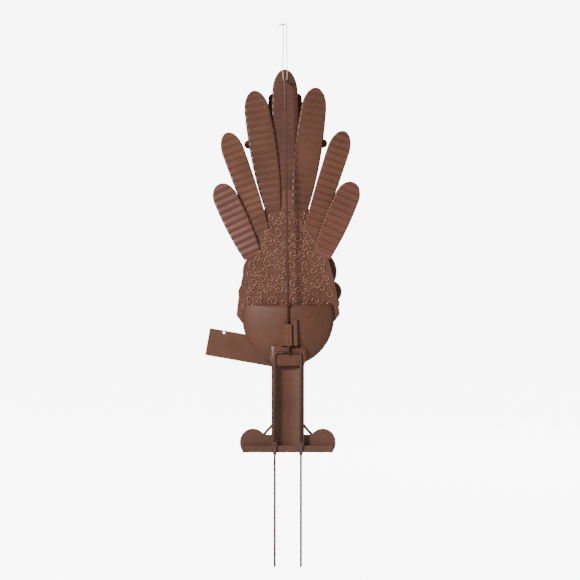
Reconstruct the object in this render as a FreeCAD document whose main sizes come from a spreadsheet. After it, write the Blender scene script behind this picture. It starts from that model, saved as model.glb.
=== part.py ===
import FreeCAD, Part
import math
import os

from FreeCAD import Placement, Rotation, Vector

# Metal turkey on two ground stakes, in millimetres. +Z is up, the bird faces +Y and its open back faces -Y.
# The origin is on the ground line, below the spine, in the plane of the back panel's rear face.

doc = FreeCAD.newDocument("turkey_stake")
sheet = doc.addObject("Spreadsheet::Sheet", "Sizes")

SIZES = [
    # sheet and wire stock
    ("feather_sheet", 0.8), ("body_sheet", 1.0), ("stand_sheet", 1.0), ("wire_radius", 2.1),
    ("loose_gap", 0.3), ("pivot_gap", 0.1), ("flat_eye", 2.0),
    # stand: leg, feet, frame and stakes
    ("leg_width", 60.0), ("leg_depth", 15.0), ("leg_lip", 5.0), ("leg_top", 162.5), ("tab_top", 195.5),
    ("tab_width", 66.0), ("bowl_depth", 27.5), ("stand_back", "=3.5 - bowl_depth"), ("bar_height", 13.0), ("bar_half", 83.0),
    ("foot_reach", 88.0), ("foot_height", 43.0), ("instep_height", 32.0), ("frame_half", 24.0),
    ("frame_top", 183.5), ("frame_bend", 6.0), ("tongue_top", 233.0), ("rivet_height", 14.8),
    ("rivet_radius", 2.2), ("rivet_bore", 1.8), ("rivet_head", 3.4), ("eye_radius", 4.7),
    ("stake_reach", 209.0), ("brace_width", 5.0),
    # bird: panel, bowl, spine and socket
    ("bird_lean", 0.8), ("bird_offset", 1.3), ("panel_top", 448.0), ("panel_bottom", 238.0), ("panel_half", 95.5),
    ("bowl_half", 84.8), ("bowl_drop", 89.8), ("bowl_middle", 248.4), ("bowl_top", 271.0),
    ("bowl_shoulder", 14.0), ("spine_top", 688.0), ("spine_bend", 8.0), ("spine_foot", 235.5),
    ("socket_half", 15.0), ("socket_top", 244.5), ("socket_foot", 195.8),
    # feathers
    ("rib_pitch", 12.6), ("rib_height", 2.5), ("center_rib_height", 1.0), ("upper_rib_height", 1.2),
    ("feather_tab", 6.0),
    ("long_feather", 222.0), ("upper_right_extra", 4.0), ("middle_feather", 199.0), ("low_feather", 148.0),
    ("upper_angle", 8.4), ("middle_angle", 18.9), ("lower_angle", 24.3),
    ("upper_tip_back", 1.6), ("middle_tip_back", 5.0), ("lower_tip_back", 7.5),
    # front: breast, wings, head and hat
    ("breast_half", 84.0), ("breast_rise", 150.0), ("breast_depth", 14.0),
    ("breast_round", 9.0), ("head_half", 44.0), ("head_rise", 56.0), ("head_middle", 505.0),
    ("head_depth", 9.0), ("head_round", 6.0), ("neck_half", 20.0), ("crown_half", 31.0), ("crown_foot_half", 35.0),
    ("crown_top", 661.0), ("crown_round", 2.6), ("brim_half", 77.0), ("brim_height", 16.0),
    ("brim_foot", 560.0), ("band_height", 14.0),
    ("buckle_size", 24.0), ("eye_button", 7.0), ("pupil_button", 3.2), ("beak_length", 24.0), ("beak_radius", 9.0),
    # sign and twine
    ("sign_length", 150.0), ("sign_height", 51.0), ("sign_tilt", 10.0), ("sign_plane", 22.0), ("sign_hole", 2.0),
    ("sign_hole_inset", 27.3), ("sign_wire_radius", 0.45), ("hook_radius", 0.9), ("twine_radius", 0.8),
]
for row, (alias, value) in enumerate(SIZES, start=1):
    sheet.set(f"A{row}", alias)
    sheet.set(f"B{row}", str(value))
    sheet.setAlias(f"B{row}", alias)
doc.recompute()


class Cells:
    """Reads the sheet's cells by alias, for shapes that are worked out in code."""

    def __getattr__(self, alias):
        return float(sheet.get(alias))


S = Cells()
ORIGIN = Placement()
# The loose socket lets the bird lean a little to its left, about the top of the leg.
LEAN_CENTRE = Vector(0, 0, S.tab_top)
BIRD = Placement(Vector(S.bird_offset, 0, 0), Rotation(Vector(0, 1, 0), -S.bird_lean), LEAN_CENTRE)
parts = []


def keep(obj, label, placement=ORIGIN):
    """Names a finished sub-part and sets its place."""
    obj.Label = label
    obj.Placement = placement
    parts.append(obj)
    return obj


def shift(x=0.0, y=0.0, z=0.0):
    return Placement(Vector(x, y, z), Rotation())


def mirrored(points):
    """The same points on the other side of the X = 0 plane."""
    return [(-x, z) for x, z in points]


def line(a, b):
    return Part.LineSegment(Vector(a[0], a[1], 0), Vector(b[0], b[1], 0))


def arc(a, through, b):
    return Part.Arc(Vector(a[0], a[1], 0), Vector(through[0], through[1], 0), Vector(b[0], b[1], 0))


def polygon(points):
    return [line(a, b) for a, b in zip(points, points[1:] + points[:1])]


def circle(x, z, radius):
    return Part.Circle(Vector(x, z, 0), Vector(0, 0, 1), radius)


def upright_ellipse(half_width, half_height, middle):
    return Part.Ellipse(Vector(0, middle + half_height, 0), Vector(half_width, middle, 0), Vector(0, middle, 0))


def new_body(label):
    return doc.addObject("PartDesign::Body", label)


def sketch_on(body, role, curves):
    """A sketch of those curves on one of the body's own origin planes."""
    plane = [feature for feature in body.Origin.OriginFeatures if feature.Role == role][0]
    sketch = body.newObject("Sketcher::SketchObject", "Outline")
    sketch.AttachmentSupport = [(plane, "")]
    sketch.MapMode = "FlatFace"
    sketch.addGeometry(curves, False)
    return sketch


def pad(body, role, curves, length, towards_front=False):
    """Pads the curves by a cell of the sheet. On the XZ plane a pad grows towards -Y unless it is turned."""
    feature = body.newObject("PartDesign::Pad", "Pad")
    feature.Profile = sketch_on(body, role, curves)
    feature.setExpression("Length", length)
    feature.Reversed = towards_front
    doc.recompute()
    return feature


def plate(label, curves, rear, placement=ORIGIN, gauge="Sizes.body_sheet"):
    """A flat sheet cut to the curves, with its rear face at Y = rear."""
    body = new_body(label)
    pad(body, "XZ_Plane", curves, gauge, towards_front=True)
    return keep(body, label, placement.multiply(shift(y=rear)))


def pressed_shell(label, curves, rear, depth, rounding, placement=ORIGIN):
    """A pressed sheet shell: a face with a rounded rim, open at its rear, where Y = rear."""
    body = new_body(label)
    block = pad(body, "XZ_Plane", curves, f"Sizes.{depth}", towards_front=True)
    front = [i for i, face in enumerate(block.Shape.Faces) if face.CenterOfMass.y > getattr(S, depth) - 0.01][0]
    rounded = body.newObject("PartDesign::Fillet", "Rim")
    rounded.Base = (block, [f"Face{front + 1}"])
    rounded.setExpression("Radius", f"Sizes.{rounding}")
    doc.recompute()
    rear_face = [i for i, face in enumerate(rounded.Shape.Faces)
                 if abs(face.CenterOfMass.y) < 0.01 and abs(face.BoundBox.YLength) < 0.01][0]
    hollow = body.newObject("PartDesign::Thickness", "Hollow")
    hollow.Base = (rounded, [f"Face{rear_face + 1}"])
    hollow.setExpression("Value", "Sizes.body_sheet")
    hollow.Reversed = True
    doc.recompute()
    return keep(body, label, placement.multiply(shift(y=rear)))


def bent_path(points, radii):
    """A wire of straight runs through the points, with a tangent arc of the given radius at each inner point."""
    points = [Vector(*p) for p in points]
    edges = []
    start = points[0]
    for before, corner, after, radius in zip(points, points[1:], points[2:], radii):
        a = (before - corner).normalize()
        b = (after - corner).normalize()
        half = a.getAngle(b) / 2
        cut = radius / math.tan(half)
        into, out = corner + a * cut, corner + b * cut
        middle = corner + (a + b).normalize() * (radius / math.sin(half) - radius)
        edges.append(Part.LineSegment(start, into).toShape())
        edges.append(Part.Arc(into, middle, out).toShape())
        start = out
    edges.append(Part.LineSegment(start, points[-1]).toShape())
    return Part.Wire(edges)


def tube(path, radius):
    """A round bar along a path of runs and arcs. Its volume is compared with section times length."""
    first = path.Edges[0]
    direction = first.tangentAt(first.FirstParameter)
    ring = Part.Wire(Part.makeCircle(radius, path.OrderedVertexes[0].Point, direction))
    bar = Part.Wire(path).makePipeShell([ring], True, False)
    expected = math.pi * radius ** 2 * path.Length
    if abs(bar.Volume - expected) > 0.02 * expected:
        raise ValueError(f"a tube has {bar.Volume:.1f} mm3 where its path needs {expected:.1f}")
    return bar


def shaped(label, shape, placement=ORIGIN):
    """A sub-part whose shape is worked out in code."""
    obj = doc.addObject("Part::Feature", label)
    obj.Shape = shape
    return keep(obj, label, placement)


# ---- stand -------------------------------------------------------------------------------------------------

def rivet_notches(body):
    """Clears the rivets' front heads from a sheet that stands in the stand's rear plane."""
    for side in (-1, 1):
        clearance = S.rivet_head + S.loose_gap
        sketch = sketch_on(body, "XZ_Plane", [circle(side * S.frame_half, S.rivet_height, clearance)])
        sketch.AttachmentOffset = shift(z=-S.stand_back)
        notch = body.newObject("PartDesign::Pocket", "RivetNotch")
        notch.Profile = sketch
        notch.setExpression("Length", "3 * Sizes.stand_sheet")
        notch.Midplane = True
        doc.recompute()


def leg_channel():
    """A rolled trough, open at the back, with lips turned in, and a flat tab on top that laps the bowl."""
    half, back, depth, t = S.leg_width / 2, S.stand_back, S.leg_depth, S.stand_sheet
    side = back + depth * 0.45
    front = back + depth
    outer = [line((-half, back), (-half, side)), arc((-half, side), (0, front), (half, side)),
             line((half, side), (half, back)), line((half, back), (half - S.leg_lip, back)),
             line((half - S.leg_lip, back), (half - S.leg_lip, back + t)),
             line((half - S.leg_lip, back + t), (half - t, back + t)), line((half - t, back + t), (half - t, side)),
             arc((half - t, side), (0, front - t), (t - half, side)), line((t - half, side), (t - half, back + t)),
             line((t - half, back + t), (S.leg_lip - half, back + t)),
             line((S.leg_lip - half, back + t), (S.leg_lip - half, back)), line((S.leg_lip - half, back), (-half, back))]
    body = new_body("leg_channel")
    sketch = sketch_on(body, "XY_Plane", outer)
    sketch.AttachmentOffset = shift(z=S.bar_height)
    trough = body.newObject("PartDesign::Pad", "Trough")
    trough.Profile = sketch
    trough.setExpression("Length", "Sizes.leg_top - Sizes.bar_height")
    doc.recompute()
    wide, corner = S.tab_width / 2, 8.0
    low, high = S.leg_top - 3, S.tab_top
    outline = [line((-half, low), (half, low)), line((half, low), (wide, low + corner)),
               line((wide, low + corner), (wide, high - corner)),
               arc((wide, high - corner), (wide - 0.3 * corner, high - 0.3 * corner), (wide - corner, high)),
               line((wide - corner, high), (corner - wide, high)),
               arc((corner - wide, high), (0.3 * corner - wide, high - 0.3 * corner), (-wide, high - corner)),
               line((-wide, high - corner), (-wide, low + corner)), line((-wide, low + corner), (-half, low))]
    tab_sketch = sketch_on(body, "XZ_Plane", outline)
    tab_sketch.AttachmentOffset = shift(z=-back)
    tab = body.newObject("PartDesign::Pad", "Tab")
    tab.Profile = tab_sketch
    tab.setExpression("Length", "Sizes.stand_sheet")
    tab.Reversed = True
    doc.recompute()
    rivet_notches(body)
    keep(body, "leg_channel")


def foot_plate():
    """Two round toe lobes and the instep between them, cut from one sheet that touches the leg's front."""
    reach, top, instep = S.foot_reach, S.foot_height, S.instep_height
    sole = reach - 5.5
    valley = reach / 2

    def half(side):
        return [line((0, 0), (side * sole, 0)),
                arc((side * sole, 0), (side * (reach - 1.5), 7), (side * reach, top / 2)),
                arc((side * reach, top / 2), (side * (reach - 23), top), (side * valley, instep)),
                line((side * valley, instep), (0, instep))]
    plate("foot_plate", half(1) + half(-1), S.stand_back + S.leg_depth, gauge="Sizes.stand_sheet")


def base_bar():
    """An angle bar: its shelf carries the leg, and its web is notched round the rivets' heads."""
    back, front, top, t = S.stand_back, S.stand_back + S.leg_depth, S.bar_height, S.stand_sheet
    body = new_body("base_bar")
    corners = [(back, 0), (back + t, 0), (back + t, top - t), (front, top - t), (front, top), (back, top)]
    sketch = sketch_on(body, "YZ_Plane", polygon(corners))
    bar = body.newObject("PartDesign::Pad", "Angle")
    bar.Profile = sketch
    bar.setExpression("Length", "2 * Sizes.bar_half")
    bar.Midplane = True
    doc.recompute()
    rivet_notches(body)
    keep(body, "base_bar")


def brace(side, label):
    """A diagonal strip from the leg to the foot plate's lobe."""
    top, foot, w = (14.0, 66.0), (60.0, 14.0), S.brace_width
    run = Vector(foot[0] - top[0], foot[1] - top[1], 0).normalize()
    across = Vector(-run.y, run.x, 0) * (w / 2)
    corners = [(top[0] + across.x, top[1] + across.y), (foot[0] + across.x, foot[1] + across.y),
               (foot[0] - across.x, foot[1] - across.y), (top[0] - across.x, top[1] - across.y)]
    corners = corners if side > 0 else mirrored(corners)
    rear = S.stand_back + S.leg_depth + S.stand_sheet
    plate(label, polygon(corners), rear, gauge="Sizes.stand_sheet")


def support_frame():
    """One bent wire: an upside-down U behind the leg with flattened eyes at its ends, and a welded tongue."""
    r, half, top = S.wire_radius, S.frame_half, S.frame_top
    y = S.stand_back - r
    low = S.rivet_height + S.eye_radius + 1
    legs = tube(bent_path([(-half, y, low), (-half, y, top), (half, y, top), (half, y, low)], [S.frame_bend] * 2), r)
    tongue = Part.makeCylinder(r, S.tongue_top - top + r, Vector(S.bird_offset, y - 2 * r + 0.2, top - r))
    shape = legs.fuse(tongue)
    for side in (-1, 1):
        middle = Vector(side * half, S.stand_back, S.rivet_height)
        eye = Part.makeCylinder(S.eye_radius, S.flat_eye, middle, Vector(0, -1, 0))
        wide = 1.44 * S.eye_radius
        flat = Part.makeBox(wide, S.flat_eye, low + 3 - S.rivet_height,
                            Vector(side * half - wide / 2, S.stand_back - S.flat_eye, S.rivet_height))
        shape = shape.fuse([eye, flat])
    for side in (-1, 1):
        mouth = Vector(side * half, S.stand_back + 1, S.rivet_height)
        bore = Part.makeCylinder(S.rivet_radius, 20, mouth, Vector(0, -1, 0))
        shape = shape.cut(bore)
    shaped("support_frame", shape.removeSplitter())


def stake(side, label):
    """A ground stake: wire with a flattened eye at its top that turns on the rivet."""
    x, z = side * S.frame_half, S.rivet_height
    body = new_body(label)
    wide = S.eye_radius * 0.72
    low = -4.0
    tangent = math.sqrt(S.eye_radius ** 2 - wide ** 2)
    outline = [arc((-wide, -tangent), (0, S.eye_radius), (wide, -tangent)), line((wide, -tangent), (wide, low - z)),
               line((wide, low - z), (-wide, low - z)), line((-wide, low - z), (-wide, -tangent)),
               circle(0, 0, S.rivet_radius + S.loose_gap)]
    pad(body, "XZ_Plane", outline, "Sizes.flat_eye")
    wire_sketch = sketch_on(body, "XY_Plane", [circle(0, -S.wire_radius, S.wire_radius)])
    wire_sketch.AttachmentOffset = shift(z=low - z)
    wire = body.newObject("PartDesign::Pad", "Wire")
    wire.Profile = wire_sketch
    wire.Length = S.stake_reach + low
    wire.Reversed = True
    doc.recompute()
    keep(body, label, shift(x, S.stand_back - S.flat_eye - S.pivot_gap, z))


def rivet(side, label):
    """A hollow rivet through the frame's eye and the stake's eye, rolled over at both ends."""
    x, z = side * S.frame_half, S.rivet_height
    start = S.stand_back
    grip = 2 * S.flat_eye + 2 * S.pivot_gap
    body = new_body(label)
    r, head, bore, lip = S.rivet_radius, S.rivet_head, S.rivet_bore, 0.7
    profile = polygon([(bore, -lip), (head, -lip), (head, 0), (r, 0), (r, grip), (head, grip), (head, grip + lip),
                       (bore, grip + lip)])
    sketch = sketch_on(body, "XZ_Plane", profile)
    turned = body.newObject("PartDesign::Revolution", "Turned")
    turned.Profile = sketch
    turned.ReferenceAxis = (sketch, ["V_Axis"])
    turned.Angle = 360
    doc.recompute()
    keep(body, label, Placement(Vector(x, start, z), Rotation(Vector(1, 0, 0), 90)))


# ---- bird: back ----------------------------------------------------------------------------------------------

def back_panel():
    """The bell-shaped panel that carries the feathers. Its scroll embossing is too shallow to show in its outline."""
    half, low, top = S.panel_half, S.panel_bottom, S.panel_top
    side = [(half - 55, top), (half - 36.5, top - 51), (half - 18.5, top - 99), (half, low + 14), (half - 10.7, low)]
    bulge = (half - 6.5, low + 60)

    def outline(s):
        p = [(s * x, z) for x, z in side]
        return [line((0, top), p[0]), line(p[0], p[1]), line(p[1], p[2]),
                arc(p[2], (s * bulge[0], bulge[1]), p[3]), line(p[3], p[4]), line(p[4], (0, low))]
    plate("back_panel", outline(1) + outline(-1), 0, BIRD)


def bowl_form(name, inset):
    """The bowl's solid form: half an ellipsoid whose top is cut level with a rounded shoulder. Inset shrinks it."""
    egg = doc.addObject("Part::Ellipsoid", name)
    egg.setExpression("Radius1", f"Sizes.bowl_drop - {inset} * Sizes.body_sheet")
    egg.setExpression("Radius2", f"Sizes.bowl_half - {inset} * Sizes.body_sheet")
    egg.setExpression("Radius3", f"Sizes.bowl_depth - {inset} * Sizes.body_sheet")
    egg.Placement = shift(z=S.bowl_middle)
    gap = inset * S.body_sheet
    top, low = S.bowl_top - gap, S.bowl_middle - S.bowl_drop - 5
    far, r = S.bowl_depth + 1, S.bowl_shoulder
    curves = [line((0, low), (0, top)), line((0, top), (-(far - r), top)),
              arc((-(far - r), top), (-(far - 0.29 * r), top - 0.29 * r), (-far, top - r)),
              line((-far, top - r), (-far, low)), line((-far, low), (0, low))]
    side = doc.addObject("Sketcher::SketchObject", name + "_side")
    side.Placement = Placement(Vector(), Rotation(Vector(1, 1, 1), 120))
    side.addGeometry(curves, False)
    wall = doc.addObject("Part::Extrusion", name + "_wall")
    wall.Base = side
    wall.DirMode = "Normal"
    wall.setExpression("LengthFwd", "2 * Sizes.bowl_half")
    wall.Solid = True
    wall.Symmetric = True
    form = doc.addObject("Part::Common", name + "_form")
    form.Base, form.Tool = egg, wall
    doc.recompute()
    return form


def belly_bowl(outer, inner):
    """The pressed half bowl that closes the belly behind the panel."""
    shell = doc.addObject("Part::Cut", "belly_bowl")
    shell.Base, shell.Tool = outer, inner
    doc.recompute()
    keep(shell, "belly_bowl", BIRD)


def socket_bracket(bowl):
    """A folded socket on the bowl. Its middle fold takes the stand's tongue, and its flanges seat on the bowl."""
    t, half, seat = S.body_sheet, S.socket_half, -S.bowl_depth + 0.5
    r = S.wire_radius
    crown = -S.bowl_depth - 2 * r - 3 * S.loose_gap - 1.0
    fold = r + 3.2
    line_of_sheet = [(-half, seat), (-fold, seat), (-fold, crown), (fold, crown), (fold, crown + 5),
                     (half - 4, crown + 5), (half - 4, crown + 1), (half, crown + 1), (half, seat)]
    wire = Part.makePolygon([Vector(x, y, 0) for x, y in line_of_sheet])
    strip = wire.makeOffset2D(-t, 2, True, True)
    if strip.BoundBox.YMin > crown - t / 2:
        strip = wire.makeOffset2D(t, 2, True, True)
    face = strip if strip.Faces else Part.Face(strip)
    tall = S.socket_top - S.socket_foot
    shape = face.extrude(Vector(0, 0, tall))
    shape.translate(Vector(0, 0, S.socket_foot))
    corner = Vector(-fold - 1.1, crown - 2, S.spine_foot)
    mouth = Part.makeBox(2 * fold + 2.2, 12, S.socket_top - S.spine_foot + 1, corner)
    shape = shape.cut(mouth).cut(bowl.Shape)
    shaped("socket_bracket", max(shape.Solids, key=lambda solid: solid.Volume), BIRD)


def spine_rod():
    """The long wire up the back. It is welded to the bowl's crown and turns in to the centre feather's tip."""
    r = S.wire_radius
    y = -S.bowl_depth - r
    path = bent_path([(0, y, S.spine_foot), (0, y, S.spine_top - r), (0, -S.feather_sheet, S.spine_top - r)],
                     [S.spine_bend])
    shaped("spine_rod", tube(path, r), BIRD)


def rib_line(length, height):
    """Half waves of arc along a feather, from its flat tab to its tip: y against z, towards -Y."""
    half_pitch = S.rib_pitch / 2
    points = []
    z = S.feather_tab
    up = True
    while z < length + S.rib_pitch:
        points.append((z, 0.0 if up else -height))
        z += half_pitch
        up = not up
    return points


def ribbed_sheet(length, half_width, height):
    """A sheet whose ribs run across it: its rear and front faces are the same wave, a sheet's thickness apart."""
    crests = rib_line(length, height)

    def wave(offset):
        edges = [Part.LineSegment(Vector(0, offset, 0), Vector(0, offset, crests[0][0])).toShape()]
        for (z0, y0), (z1, y1) in zip(crests, crests[1:]):
            ym, zm = (y0 + y1) / 2, (z0 + z1) / 2
            quarter = (z1 - z0) / 4
            edges.append(Part.Arc(Vector(0, y0 + offset, z0), Vector(0, y0 + (ym - y0) * 0.29 + offset, z0 + quarter),
                                  Vector(0, ym + offset, zm)).toShape())
            edges.append(Part.Arc(Vector(0, ym + offset, zm), Vector(0, y1 + (ym - y1) * 0.29 + offset, z1 - quarter),
                                  Vector(0, y1 + offset, z1)).toShape())
        return edges
    rear, front = wave(-S.feather_sheet), wave(0.0)
    first = Part.LineSegment(Vector(0, -S.feather_sheet, 0), Vector(0, 0, 0)).toShape()
    z_end, y_end = crests[-1]
    last = Part.LineSegment(Vector(0, y_end - S.feather_sheet, z_end), Vector(0, y_end, z_end)).toShape()
    wire = Part.Wire(Part.__sortEdges__(rear + [last] + front + [first]))
    block = Part.Face(wire).extrude(Vector(2 * half_width, 0, 0))
    block.translate(Vector(-half_width, 0, 0))
    return block


def feather_blank(length, base_half, belly_half, tip_half, tip_length):
    """The outline of a feather, widest past its middle, with a half-oval tip."""
    knee = length - tip_length
    right = Part.BezierCurve()
    right.setPoles([Vector(base_half, 0, 0), Vector(belly_half, 0, 0.30 * length),
                    Vector(1.07 * belly_half, 0, 0.62 * length), Vector(tip_half, 0, knee)])
    left = Part.BezierCurve()
    left.setPoles([Vector(-p.x, 0, p.z) for p in right.getPoles()])
    oval = Part.Ellipse(Vector(0, 0, length), Vector(tip_half, 0, knee), Vector(0, 0, knee)) \
        if tip_length > tip_half else Part.Ellipse(Vector(tip_half, 0, knee), Vector(0, 0, length), Vector(0, 0, knee))
    lower = Part.makeBox(4 * tip_half, 20, 2 * length, Vector(-2 * tip_half, -10, knee))
    cap = Part.Face(Part.Wire(oval.toShape())).extrude(Vector(0, 20, 0))
    cap.translate(Vector(0, -10, 0))
    cap = cap.common(lower)
    across = Part.LineSegment(Vector(tip_half, 0, knee), Vector(-tip_half, 0, knee))
    foot = Part.LineSegment(Vector(-base_half, 0, 0), Vector(base_half, 0, 0))
    shaft = Part.Face(Part.Wire([right.toShape(), across.toShape(), left.toShape(), foot.toShape()]))
    shaft = shaft.extrude(Vector(0, 20, 0))
    shaft.translate(Vector(0, -10, 0))
    return shaft.fuse(cap).removeSplitter()


def feather(label, widths, length, height, place):
    base_half, belly_half, tip_half, tip_length = widths
    blank = feather_blank(length, base_half, belly_half, tip_half, tip_length)
    ribs = ribbed_sheet(length, 1.3 * belly_half, height)
    shape = ribs.common(blank)
    shaped(label, max(shape.Solids, key=lambda solid: solid.Volume), place)


def feathers():
    """Seven ribbed feathers. Each lower pair leans further back, so that it laps over the pair above."""
    long_widths = (13.8, 25.3, 23.6, 44.0)
    middle_widths = (13.6, 19.5, 20.8, 37.0)
    low_widths = (17.0, 23.0, 22.6, 31.0)
    feather("center_feather", long_widths, S.long_feather, S.center_rib_height,
            BIRD.multiply(shift(0, S.body_sheet, S.panel_top + 35)))
    pairs = [
        ("upper_feather", long_widths, S.long_feather + 3, 24.7, S.panel_top - 4.5, S.upper_angle, S.upper_tip_back),
        ("middle_feather", middle_widths, S.middle_feather, 44.3, S.panel_top - 47, S.middle_angle, S.middle_tip_back),
        ("lower_feather", low_widths, S.low_feather, 63.6, S.panel_top - 87.5, S.lower_angle, S.lower_tip_back),
    ]
    for name, widths, length, x, z, angle, tip_back in pairs:
        height = S.upper_rib_height if name == "upper_feather" else S.rib_height
        for side, word in ((-1, "left"), (1, "right")):
            turn = Rotation(Vector(0, 1, 0), side * angle).multiply(Rotation(Vector(1, 0, 0), tip_back))
            extra = S.upper_right_extra if (name, side) == ("upper_feather", 1) else 0.0
            place = BIRD.multiply(Placement(Vector(side * x, 0, z), turn))
            feather(f"{name}_{word}", widths, length + extra, height, place)


# ---- bird: front ---------------------------------------------------------------------------------------------

def egg_outline():
    """The breast's outline: the bowl's own lower half, and a taller upper half that stays inside the panel."""
    half, middle = S.breast_half, S.bowl_middle
    upper = Part.ArcOfEllipse(upright_ellipse(half, S.breast_rise, middle), 1.5 * math.pi, 2.5 * math.pi)
    lower = Part.ArcOfEllipse(upright_ellipse(half, S.bowl_drop, middle), 0.5 * math.pi, 1.5 * math.pi)
    return [upper, lower]


def wing(side, label, inward):
    """A flat wing with three scallops, riveted to the breast's face."""
    rear = S.body_sheet + S.breast_depth
    p = [(38.0, 352.0), (80.0, 360.0), (87.0, 313.0), (94.0, 279.0), (78.0, 258.0)]
    p = [(side * (x - inward), z) for x, z in p]

    def via(x, z):
        return (side * (x - inward), z)
    curves = [arc(p[0], via(60, 366), p[1]), arc(p[1], via(91, 336), p[2]), arc(p[2], via(100, 294), p[3]),
              arc(p[3], via(90, 261), p[4]), arc(p[4], via(42, 300), p[0])]
    plate(label, curves, rear, BIRD)


def head_pieces():
    """The neck plate behind everything, the pressed head on it, and the face's small pieces."""
    n, t = S.neck_half, S.body_sheet
    top, low = S.brim_foot + 60, S.bowl_middle + S.breast_rise + 10
    plate("neck_plate", polygon([(-n, low), (n, low), (n, top), (-n, top)]), t, BIRD)
    pressed_shell("head_shell", [upright_ellipse(S.head_half, S.head_rise, S.head_middle)], 2 * t, "head_depth",
                  "head_round", BIRD)
    face = 2 * t + S.head_depth
    beak = doc.addObject("Part::Cone", "beak")
    beak.setExpression("Radius1", "Sizes.beak_radius")
    beak.Radius2 = 0.8
    beak.setExpression("Height", "Sizes.beak_length")
    root = Placement(Vector(0, face, S.head_middle - 8), Rotation(Vector(1, 0, 0), -90))
    keep(beak, "beak", BIRD.multiply(root))
    drop = [arc((4, S.head_middle - 18), (15, S.head_middle - 44), (9, S.head_middle - 54)),
            arc((9, S.head_middle - 54), (1, S.head_middle - 44), (4, S.head_middle - 18))]
    plate("wattle", drop, face, BIRD)
    for side, word in ((-1, "left"), (1, "right")):
        button = doc.addObject("Part::Cylinder", f"{word}_eye")
        button.setExpression("Radius", "Sizes.eye_button")
        button.Height = 1.6
        spot = Vector(side * 15, face, S.head_middle + 14)
        place = BIRD.multiply(Placement(spot, Rotation(Vector(1, 0, 0), -90)))
        keep(button, f"{word}_eye", place)
        pupil = doc.addObject("Part::Cylinder", f"{word}_pupil")
        pupil.setExpression("Radius", "Sizes.pupil_button")
        pupil.Height = 0.8
        spot = Vector(side * 14, face + 1.6, S.head_middle + 13)
        place = BIRD.multiply(Placement(spot, Rotation(Vector(1, 0, 0), -90)))
        keep(pupil, f"{word}_pupil", place)


def hat():
    """A tall-crowned felt-style hat in sheet metal: pressed crown, flat brim, band and open buckle."""
    t = S.body_sheet
    foot, top = S.brim_foot + 2, S.crown_top
    a, b, r = S.crown_foot_half, S.crown_half, 9.0
    crown = [line((-a, foot), (a, foot)), line((a, foot), (b, top - r)),
             arc((b, top - r), (b - 0.3 * r, top - 0.3 * r), (b - r, top)), line((b - r, top), (r - b, top)),
             arc((r - b, top), (0.3 * r - b, top - 0.3 * r), (-b, top - r)), line((-b, top - r), (-a, foot))]
    pressed_shell("hat_crown", crown, 2 * t, "head_depth", "crown_round", BIRD)
    face = 2 * t + S.head_depth
    w, h, z = S.brim_half, S.brim_height / 2, S.brim_foot + S.brim_height / 2
    brim = [line((h - w, z - h), (w - h, z - h)), arc((w - h, z - h), (w, z), (w - h, z + h)),
            line((w - h, z + h), (h - w, z + h)), arc((h - w, z + h), (-w, z), (h - w, z - h))]
    plate("hat_brim", brim, face, BIRD)
    low = z + h
    high = low + S.band_height
    slope = (a - b) / (top - foot)
    at = {level: a - slope * (level - foot) - 1.5 for level in (low, high)}
    plate("hat_band", polygon([(-at[low], low), (at[low], low), (at[high], high), (-at[high], high)]), face, BIRD)
    q, mid = S.buckle_size / 2, (low + high) / 2
    inner = q - 4.5
    ring = polygon([(-q, mid - q), (q, mid - q), (q, mid + q), (-q, mid + q)])
    hole = polygon([(-inner, mid - inner), (inner, mid - inner), (inner, mid + inner), (-inner, mid + inner)])
    plate("hat_buckle", ring + hole, face + t, BIRD)


# ---- sign and twine ------------------------------------------------------------------------------------------

SIGN_CORNER = (-144.6, 227.7)
HOOK = (-75.0, 286.0)


def sign_point(along, down):
    """A point of the sign's face: millimetres from its upper left corner, along it and down it."""
    turn = math.radians(S.sign_tilt)
    return (SIGN_CORNER[0] + along * math.cos(turn) - down * math.sin(turn),
            SIGN_CORNER[1] - along * math.sin(turn) - down * math.cos(turn))


def sign():
    """A thin sign that hangs from one hook by a curled wire, and rocks on it."""
    long, tall, inset = S.sign_length, S.sign_height, S.sign_hole_inset
    corners = polygon([sign_point(0, 0), sign_point(long, 0), sign_point(long, tall), sign_point(0, tall)])
    holes = [circle(*sign_point(x, 4), S.sign_hole) for x in (inset, long - inset)]
    plate("sign_plate", corners + holes, S.sign_plane, gauge="Sizes.body_sheet")
    y = S.sign_plane - S.sign_wire_radius - 0.6
    r = S.sign_wire_radius
    rim = 4 + r - S.sign_hole - 0.1
    left, right = sign_point(inset, rim), sign_point(long - inset, rim)
    rest = S.hook_radius + S.loose_gap + r
    left_run = [(left[0] + 2.7, left[1] + 6.4), (-105.7, 233.3), (-104.4, 244.3), (-97.7, 251.7), (-87.8, 262.8)]
    right_run = [(-60.0, 263.0), (-50.0, 247.0), (-46.5, 234.0), (-36.0, 224.0),
                 (right[0] - 1.0, right[1] + 9.0)]
    over = [(HOOK[0] - rest, HOOK[1] + rest), (HOOK[0] + rest, HOOK[1] + rest)]
    points = [left] + left_run + over + right_run + [right]
    points = [(x, y, z) for x, z in points]
    radii = []
    for before, corner, after in zip(points, points[1:], points[2:]):
        a, b = Vector(*before) - Vector(*corner), Vector(*after) - Vector(*corner)
        radii.append(0.42 * min(a.Length, b.Length) * math.tan(a.getAngle(b) / 2))
    shape = tube(bent_path(points, radii), r)
    for x, z in (left, right):
        shape = shape.fuse(Part.makeCylinder(r, 3.2, Vector(x, y - r, z), Vector(0, 1, 0)))
    shaped("sign_wire", shape)
    face = 2 * S.body_sheet + S.breast_depth
    reach = S.sign_plane + 4
    path = bent_path([(HOOK[0], face, HOOK[1]), (HOOK[0], reach, HOOK[1]), (HOOK[0], reach, HOOK[1] + 6)], [2.0])
    shaped("sign_hook", tube(path, S.hook_radius))


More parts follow.
